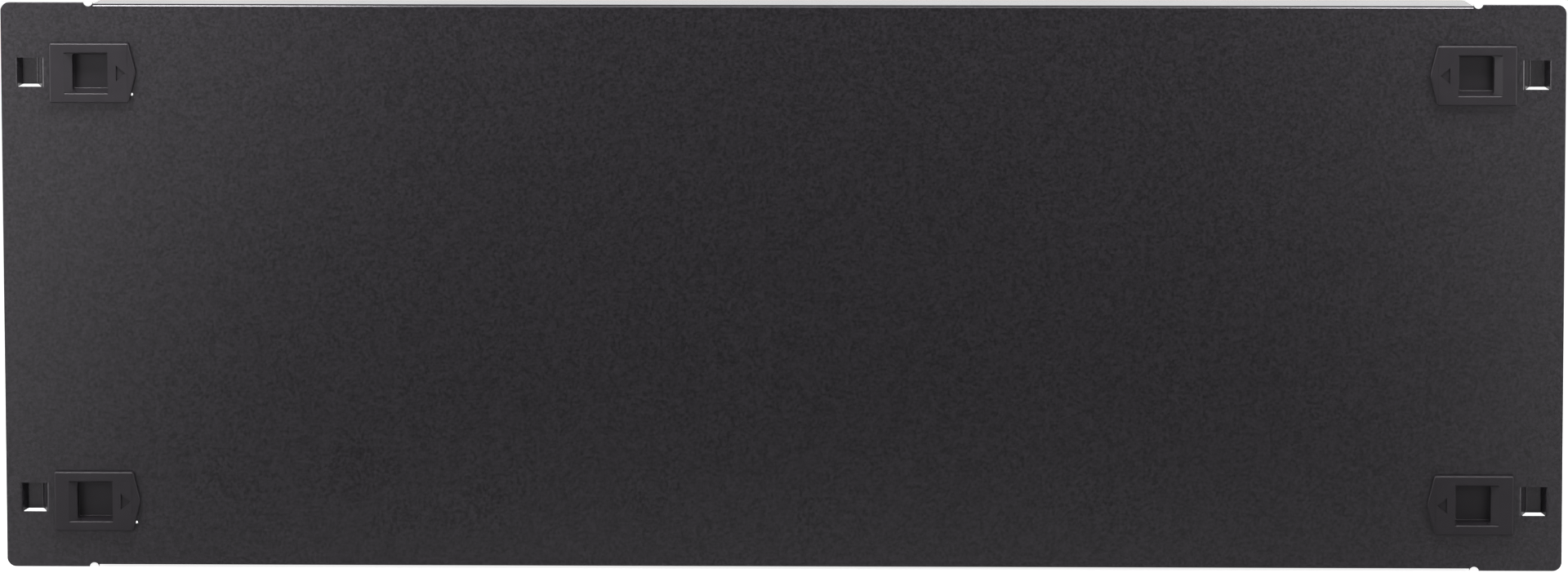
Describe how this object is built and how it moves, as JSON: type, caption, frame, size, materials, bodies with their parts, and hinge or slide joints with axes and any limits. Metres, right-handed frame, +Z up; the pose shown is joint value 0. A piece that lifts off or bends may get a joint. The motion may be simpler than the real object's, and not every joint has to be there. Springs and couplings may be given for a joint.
{
  "type": "rack blanking panel",
  "caption": "Flat folded-steel panel with bridge lances and sprung slide latches that closes an empty rack opening without tools.",
  "frame": {"origin": "centre of the mounting plane, which is the rear face of the sheet, where the ears lie on the rack rails", "axes": "+X along the width, +Y from the front to the rear into the rack, +Z up"},
  "size_m": [0.4826, 0.0171, 0.177],
  "materials": {
    "coated_steel": "satin",
    "moulded_plastic": "fine matte",
    "spring_wire": "bright drawn wire"
  },
  "bodies": {
    "fixed_panel": {"panel": "coated_steel", "spring_upper_right": "spring_wire", "spring_upper_left": "spring_wire", "spring_lower_right": "spring_wire", "spring_lower_left": "spring_wire"},
    "slider_upper_right": {"latch_upper_right": "moulded_plastic"},
    "slider_upper_left": {"latch_upper_left": "moulded_plastic"},
    "slider_lower_right": {"latch_lower_right": "moulded_plastic"},
    "slider_lower_left": {"latch_lower_left": "moulded_plastic"}
  },
  "joints": [
    {"name": "slide_upper_right", "type": "slide", "parent": "fixed_panel", "child": "slider_upper_right", "axis": [-1, 0, 0], "range_m": [0, 0.0034], "stiffness_N_per_m": 1450, "springref_m": -0.0025, "deforming": ["spring_upper_right"]},
    {"name": "slide_upper_left", "type": "slide", "parent": "fixed_panel", "child": "slider_upper_left", "axis": [1, 0, 0], "range_m": [0, 0.0034], "stiffness_N_per_m": 1450, "springref_m": -0.0025, "deforming": ["spring_upper_left"]},
    {"name": "slide_lower_right", "type": "slide", "parent": "fixed_panel", "child": "slider_lower_right", "axis": [-1, 0, 0], "range_m": [0, 0.0034], "stiffness_N_per_m": 1450, "springref_m": -0.0025, "deforming": ["spring_lower_right"]},
    {"name": "slide_lower_left", "type": "slide", "parent": "fixed_panel", "child": "slider_lower_left", "axis": [1, 0, 0], "range_m": [0, 0.0034], "stiffness_N_per_m": 1450, "springref_m": -0.0025, "deforming": ["spring_lower_left"]}
  ]
}
